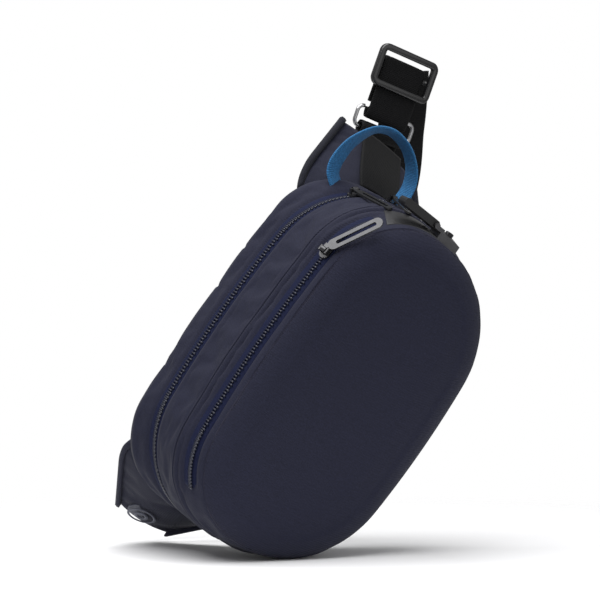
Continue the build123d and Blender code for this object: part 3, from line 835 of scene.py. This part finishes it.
def soft_square(width, height, count=16, power=0.55):
    """A rounded-square profile."""
    angles = np.arange(count) * 2 * math.pi / count
    wide, high = (np.sign(turn) * np.abs(turn) ** power for turn in (np.cos(angles), np.sin(angles)))
    return np.stack([wide * width / 2, high * height / 2], 1)


def buckle(plastic):
    """Slider buckle: a glossy rounded frame and its middle bar."""
    half_s, half_w = BUCKLE_LENGTH / 2 - BUCKLE_RIM, BUCKLE_WIDTH / 2 - BUCKLE_RIM
    pairs = rounded_rectangle(half_s, half_w, BUCKLE_CORNER)
    bow = BUCKLE_LIFT - 1.6 * (np.abs(pairs[:, 1]) / (BUCKLE_WIDTH / 2)) ** 2
    path = np.array([clip_point(BUCKLE_REACH + s, n, w) for (s, w), n in zip(pairs, bow)])
    frame_ring = sweep("buckle_frame", path, FRONT, soft_square(5.2, 5.2), closed=True)
    fix_normals(frame_ring)
    reach = BUCKLE_WIDTH / 2 - 2.2
    spots = [(-reach, 3.6), (-reach + 1.4, 1.6), (-reach + 3.4, 0.2), (-10, 0), (10, 0),
             (reach - 3.4, 0.2), (reach - 1.4, 1.6), (reach, 3.6)]
    bar_path = np.array([clip_point(BUCKLE_REACH, n, w) for w, n in spots])
    bar = sweep("buckle_bar", bar_path, ALONG, circle(1.9, 12))
    fix_normals(bar)
    for obj in (frame_ring, bar):
        obj.data.materials.append(plastic)
        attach(obj, "slider_buckle")
    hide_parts("slider_buckle")


def belt(webbing):
    """Belt behind the bag in two lengths, one towards each wing's end."""
    path = smooth_path(BELT_RUN, 150)
    tangents = run_tangents(path, False)
    upright = np.array([0, 0, 1.0]) - tangents * tangents[:, 2:]
    profile = band_profile(WEBBING_WIDTH, WEBBING_THICKNESS)
    right = sweep("belt_right", path[:76], upright[:76], profile)
    left = sweep("belt_left", path[73:], upright[73:], profile)
    for obj in (right, left):
        fix_normals(obj)
        obj.data.materials.append(webbing)
        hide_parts("belt")
    bend(right, "right_wing", *BELT_RIGHT_BEND)
    bend(left, "left_wing", *BELT_LEFT_BEND)


def left_tab(webbing):
    """Folded webbing end sewn on the left wing's tip."""
    low, high = (np.array(corner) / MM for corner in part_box("left_strap_tab"))
    middle = (low + high) / 2
    run = [(middle[0], low[1] - 6, middle[2]), (middle[0], low[1], middle[2]),
           (middle[0] + 0.3, middle[1], middle[2]), (middle[0], high[1], middle[2])]
    obj = webbing_piece("tab_left", smooth_path(run, 24), (0, 0, 1), high[2] - low[2], webbing,
                        "left_wing", 3.0)
    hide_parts("left_strap_tab")


def wing_patch(webbing):
    """Webbing patch that follows the right wing's face up to the strap's roll."""
    tip = WING_TIPS[1]
    points = []
    for share in np.linspace(PATCH_START, PATCH_END, PATCH_ROWS):
        middle = ROOT_Z * (1 - share) + tip["place"][2] * share
        half = ROOT_HALF * (1 - share) + tip["half"] * share
        for z in PATCH_MIDDLE_Z + np.linspace(-WEBBING_WIDTH / 2, WEBBING_WIDTH / 2, PATCH_COLUMNS):
            points.append(wing_section(share, 1, (z - middle) / half) + wing_out(share, 1) * PATCH_LIFT)
    uvs = [(row * 1.8, column * 2.5) for row in range(PATCH_ROWS) for column in range(PATCH_COLUMNS)]
    faces = grid_faces(PATCH_ROWS, PATCH_COLUMNS, False)
    obj = make_mesh("patch_webbing", np.array(points), faces, True, uvs)
    thicken(obj, 1.4)
    fix_normals(obj)
    obj.data.materials.append(webbing)
    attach(obj, "right_wing")
    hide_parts("wing_webbing")


def carry_loop(blue):
    """Blue webbing loop, sewn to the bag at both ends."""
    path = smooth_path([(x, LOOP_MIDDLE_Y, z) for x, z in LOOP_RUN], 90)
    turns = np.linspace(0, 1, len(LOOP_SIDES))
    places = np.linspace(0, 1, len(path))
    sides = np.stack([np.interp(places, turns, [side[axis] for side in LOOP_SIDES]) for axis in range(3)], 1)
    obj = sweep("loop_carry", path, sides, band_profile(LOOP_WIDTH, 2.2))
    fix_normals(obj)
    obj.data.materials.append(blue)
    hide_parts("carry_loop")
    bend(obj, "carry_loop", *LOOP_BEND)


# ======== finishes
def finish_material(name, colour, roughness, metallic=0.0, sheen=0.0, coat=0.0):
    """A principled material; returns it with its nodes, links and shader."""
    material = bpy.data.materials.new(name)
    material.use_nodes = True
    nodes, links = material.node_tree.nodes, material.node_tree.links
    shader = nodes["Principled BSDF"]
    shader.inputs["Base Color"].default_value = (*colour, 1)
    shader.inputs["Roughness"].default_value = roughness
    shader.inputs["Metallic"].default_value = metallic
    shader.inputs["Sheen Weight"].default_value = sheen
    shader.inputs["Coat Weight"].default_value = coat
    return material, nodes, links, shader


def tint(nodes, links, shader, colour, scale, amount):
    """Varies the base colour a little with noise."""
    where = nodes.new("ShaderNodeTexCoord")
    cloud = nodes.new("ShaderNodeTexNoise")
    cloud.inputs["Scale"].default_value = scale
    cloud.inputs["Detail"].default_value = 6
    ramp = nodes.new("ShaderNodeValToRGB")
    ramp.color_ramp.elements[0].color = (*[c * (1 - amount) for c in colour], 1)
    ramp.color_ramp.elements[1].color = (*[c * (1 + amount) for c in colour], 1)
    ramp.color_ramp.elements[0].position = 0.3
    ramp.color_ramp.elements[1].position = 0.7
    links.new(where.outputs["Object"], cloud.inputs["Vector"])
    links.new(cloud.outputs["Fac"], ramp.inputs["Fac"])
    links.new(ramp.outputs["Color"], shader.inputs["Base Color"])
    return where


def bump(nodes, links, shader, heights, strength, distance):
    """Drives the shader's normal from a height output."""
    relief = nodes.new("ShaderNodeBump")
    relief.inputs["Strength"].default_value = strength
    relief.inputs["Distance"].default_value = distance
    links.new(heights, relief.inputs["Height"])
    links.new(relief.outputs["Normal"], shader.inputs["Normal"])


def woven(name, colour, pitch, strength=0.35, sheen=0.25, roughness=0.78):
    """Woven cloth: fine crossing threads and a faint unevenness of colour."""
    material, nodes, links, shader = finish_material(name, colour, roughness, sheen=sheen)
    shader.inputs["Specular IOR Level"].default_value = 0.18
    where = tint(nodes, links, shader, colour, 900, 0.22)
    weave = nodes.new("ShaderNodeTexWave")
    weave.wave_type = "BANDS"
    weave.bands_direction = "DIAGONAL"
    weave.inputs["Scale"].default_value = 1 / (pitch * MM) / 3
    weave.inputs["Distortion"].default_value = 1.5
    links.new(where.outputs["Object"], weave.inputs["Vector"])
    bump(nodes, links, shader, weave.outputs["Fac"], strength, 0.0004)
    return material


def ribbed(name, colour, pitch, sheen=0.2, roughness=0.7, strength=0.5):
    """Webbing: ribs across its length, from the piece's own coordinates along and across it."""
    material, nodes, links, shader = finish_material(name, colour, roughness, sheen=sheen)
    shader.inputs["Specular IOR Level"].default_value = 0.15
    tint(nodes, links, shader, colour, 700, 0.25)
    where = nodes.new("ShaderNodeUVMap")
    where.uv_map = "UVMap"
    ribs = nodes.new("ShaderNodeTexWave")
    ribs.wave_type = "BANDS"
    ribs.bands_direction = "X"
    ribs.inputs["Scale"].default_value = math.pi / (10 * pitch)
    ribs.inputs["Distortion"].default_value = 0.4
    links.new(where.outputs["UV"], ribs.inputs["Vector"])
    bump(nodes, links, shader, ribs.outputs["Fac"], strength, 0.0005)
    return material


def solid_finish(name, colour, roughness, metallic, coat=0.0, grain=250.0):
    """Metal or moulded plastic with a slightly uneven polish."""
    material, nodes, links, shader = finish_material(name, colour, roughness, metallic, coat=coat)
    where = tint(nodes, links, shader, colour, grain, 0.08)
    cloud = nodes.new("ShaderNodeTexNoise")
    cloud.inputs["Scale"].default_value = grain * 2
    links.new(where.outputs["Object"], cloud.inputs["Vector"])
    spread = nodes.new("ShaderNodeMapRange")
    spread.inputs["To Min"].default_value = roughness * 0.8
    spread.inputs["To Max"].default_value = roughness * 1.2
    links.new(cloud.outputs["Fac"], spread.inputs["Value"])
    links.new(spread.outputs["Result"], shader.inputs["Roughness"])
    return material


def dress_nodes(names, material):
    """Shows CAD nodes of hard parts with a finish and softened edges."""
    for name in names:
        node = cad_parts[name]
        node.data.materials.clear()
        node.data.materials.append(material)
        soften = node.modifiers.new("edges", "BEVEL")
        soften.width = 0.25 * MM
        soften.segments = 2
        soften.limit_method = "ANGLE"


# ======== stage
def photo_directions():
    """Camera direction and the picture's right and up in the CAD frame."""
    azimuth, elevation, roll = (math.radians(v) for v in (CAMERA_AZIMUTH, CAMERA_ELEVATION, CAMERA_ROLL))
    away = Vector((-math.sin(azimuth) * math.cos(elevation), -math.cos(azimuth) * math.cos(elevation),
                   math.sin(elevation)))
    level_right = Vector((math.cos(azimuth), -math.sin(azimuth), 0))
    level_up = away.cross(level_right)
    right = level_right * math.cos(roll) - level_up * math.sin(roll)
    up = level_right * math.sin(roll) + level_up * math.cos(roll)
    return right, up, away


def add_camera(right, up, away):
    """Camera at the picture's viewing angle."""
    data = bpy.data.cameras.new("camera")
    data.lens = CAMERA_LENS
    data.shift_x, data.shift_y = CAMERA_SHIFT
    data.clip_start, data.clip_end = 0.05, 20
    camera = bpy.data.objects.new("camera", data)
    bpy.context.scene.collection.objects.link(camera)
    turn = Matrix((right, up, away)).transposed().to_4x4()
    camera.matrix_world = Matrix.Translation(away * CAMERA_DISTANCE * MM) @ turn
    bpy.context.scene.camera = camera


def add_light(name, place, target, size, power):
    """A soft square light."""
    data = bpy.data.lights.new(name, "AREA")
    data.size = size
    data.energy = power
    light = bpy.data.objects.new(name, data)
    bpy.context.scene.collection.objects.link(light)
    light.location = place
    light.rotation_mode = "QUATERNION"
    light.rotation_quaternion = (target - place).to_track_quat("-Z", "Y")
    light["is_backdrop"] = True


def add_floor(right, up, away):
    """White floor under the bag's lowest point, seen only from above."""
    lowest = min(Vector(corner).dot(up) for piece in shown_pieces() if piece.type == "MESH"
                 for corner in (piece.matrix_world @ vertex.co for vertex in piece.data.vertices))
    half = 4.0
    centre = up * (lowest - 0.0005)
    side, ahead = right * half, away * half
    corners = [centre - side - ahead, centre + side - ahead, centre + side + ahead, centre - side + ahead]
    faces_up = (corners[1] - corners[0]).cross(corners[2] - corners[1]).dot(up) > 0
    order = (0, 1, 2, 3) if faces_up else (3, 2, 1, 0)
    floor = make_mesh("floor", np.array([tuple(c / MM) for c in corners]), [order], False)
    material, nodes, links, shader = finish_material("floor_white", (0.93, 0.93, 0.94), 0.9)
    clear = nodes.new("ShaderNodeBsdfTransparent")
    facing = nodes.new("ShaderNodeNewGeometry")
    reach = nodes.new("ShaderNodeVectorMath")
    reach.operation = "LENGTH"
    fade = nodes.new("ShaderNodeMapRange")
    fade.inputs["From Min"].default_value = FLOOR_FADE[0]
    fade.inputs["From Max"].default_value = FLOOR_FADE[1]
    either = nodes.new("ShaderNodeMath")
    either.operation = "MAXIMUM"
    mix = nodes.new("ShaderNodeMixShader")
    links.new(facing.outputs["Position"], reach.inputs[0])
    links.new(reach.outputs["Value"], fade.inputs["Value"])
    links.new(fade.outputs["Result"], either.inputs[0])
    links.new(facing.outputs["Backfacing"], either.inputs[1])
    links.new(either.outputs["Value"], mix.inputs["Fac"])
    links.new(shader.outputs[0], mix.inputs[1])
    links.new(clear.outputs[0], mix.inputs[2])
    links.new(mix.outputs[0], nodes["Material Output"].inputs["Surface"])
    floor.data.materials.append(material)
    floor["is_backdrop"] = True


def add_studio():
    """White surroundings, camera, lights and floor."""
    right, up, away = photo_directions()
    world = bpy.data.worlds.new("studio")
    world.use_nodes = True
    nodes, links = world.node_tree.nodes, world.node_tree.links
    background = nodes["Background"]
    background.inputs["Color"].default_value = (1, 1, 1, 1)
    path = nodes.new("ShaderNodeLightPath")
    brightness = nodes.new("ShaderNodeMapRange")
    brightness.inputs["To Min"].default_value = AMBIENT
    brightness.inputs["To Max"].default_value = 1.0
    links.new(path.outputs["Is Camera Ray"], brightness.inputs["Value"])
    links.new(brightness.outputs["Result"], background.inputs["Strength"])
    bpy.context.scene.world = world
    bpy.context.scene.view_settings.view_transform = "Standard"
    add_camera(right, up, away)
    target = Vector((0, -0.03, 0))
    add_light("key", target + up * 1.3 - right * 0.25 + away * 0.45, target, 1.6, 36)
    add_light("fill", target + up * 0.3 + right * 1.0 + away * 1.0, target, 1.2, 3)
    add_floor(right, up, away)


# ======== whole object
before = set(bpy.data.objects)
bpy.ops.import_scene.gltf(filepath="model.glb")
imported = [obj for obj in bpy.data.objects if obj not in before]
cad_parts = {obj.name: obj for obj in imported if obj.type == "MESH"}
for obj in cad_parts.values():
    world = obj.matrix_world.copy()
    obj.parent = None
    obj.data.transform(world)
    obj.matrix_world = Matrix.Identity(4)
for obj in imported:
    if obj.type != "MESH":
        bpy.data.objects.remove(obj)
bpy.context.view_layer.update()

shell = woven("shell_fabric", (0.0128, 0.0139, 0.0300), 0.9, sheen=0.05)
wing_cloth = woven("wing_fabric", (0.0145, 0.0155, 0.030), 0.9, sheen=0.05)
tape_cloth = woven("zip_tape", (0.004, 0.007, 0.032), 0.5, sheen=0.03)
pad_cloth = woven("pad_mesh", (0.02, 0.02, 0.024), 2.4, strength=0.9)
lining_cloth = woven("lining", (0.09, 0.10, 0.12), 0.8)
piping_cloth = woven("piping", (0.015, 0.015, 0.030), 0.6, sheen=0.05)
thread = woven("thread", (0.03, 0.032, 0.055), 0.4)
black_webbing = ribbed("webbing", (0.0038, 0.0038, 0.0043), 1.3, sheen=0.03)
binding_webbing = ribbed("binding", (0.009, 0.0095, 0.016), 1.1, sheen=0.05)
blue_webbing = ribbed("blue_webbing", (0.030, 0.15, 0.34), 1.2, roughness=0.6, sheen=0.1)
coil_plastic = solid_finish("zip_coil", (0.020, 0.022, 0.036), 0.32, 0.0)
buckle_plastic = solid_finish("buckle_plastic", (0.008, 0.008, 0.009), 0.28, 0.0, coat=0.3)
latch_rubber = solid_finish("latch_rubber", (0.006, 0.006, 0.007), 0.45, 0.0)
badge_rubber = solid_finish("badge", (0.075, 0.08, 0.11), 0.5, 0.0)
dark_metal = solid_finish("dark_metal", (0.10, 0.10, 0.105), 0.36, 0.9)
black_metal = solid_finish("black_metal", (0.02, 0.02, 0.022), 0.3, 0.6)
bright_metal = solid_finish("bright_metal", (0.075, 0.075, 0.078), 0.38, 0.9)
bright_wire = solid_finish("bright_wire", (0.42, 0.42, 0.43), 0.22, 1.0)
mesh_steel = solid_finish("steel_mesh", (0.4, 0.4, 0.41), 0.4, 1.0)

bag_shell(shell)
front_panel(shell)
piping(piping_cloth)
zip_tapes(ZIP_DEPTH, MAIN_ZIP_LOW_END, "zip_main", ("main_tape_rear", "main_tape_front"), tape_cloth)
zip_tapes(FRONT_ZIP_DEPTH, FRONT_ZIP_LOW_END, "zip_front", ("front_tape_upper", "front_tape_lower"),
          tape_cloth)
zip_teeth(ZIP_DEPTH, MAIN_ZIP_LOW_END, "zip_main_coil", "main_zip_coil", coil_plastic)
zip_teeth(FRONT_ZIP_DEPTH, FRONT_ZIP_LOW_END, "zip_front_coil", "front_zip_coil", coil_plastic)
shell_stitches(thread)
back_pad(pad_cloth)
inner_layers(lining_cloth, mesh_steel)
soft_wing("left_wing", -1, wing_cloth)
soft_wing("right_wing", 1, wing_cloth)
wing_binding("binding_left", -1, "left_wing", 3.0, wing_cloth)
wing_binding("binding_right", 1, "right_wing", 3.5, binding_webbing)
badge(badge_rubber)
ring_and_tab(black_webbing, bright_wire)
front_strap(black_webbing)
buckle(buckle_plastic)
belt(black_webbing)
left_tab(black_webbing)
wing_patch(black_webbing)
carry_loop(blue_webbing)
dress_nodes(["main_slider_a", "lock_base"], dark_metal)
dress_nodes(["main_slider_b", "lock_button"], black_metal)
dress_nodes(["front_slider", "main_pull_a", "main_pull_b", "front_pull"], bright_metal)
dress_nodes(["lock_latch"], latch_rubber)
dress_nodes(["wing_badge"], badge_rubber)
add_studio()
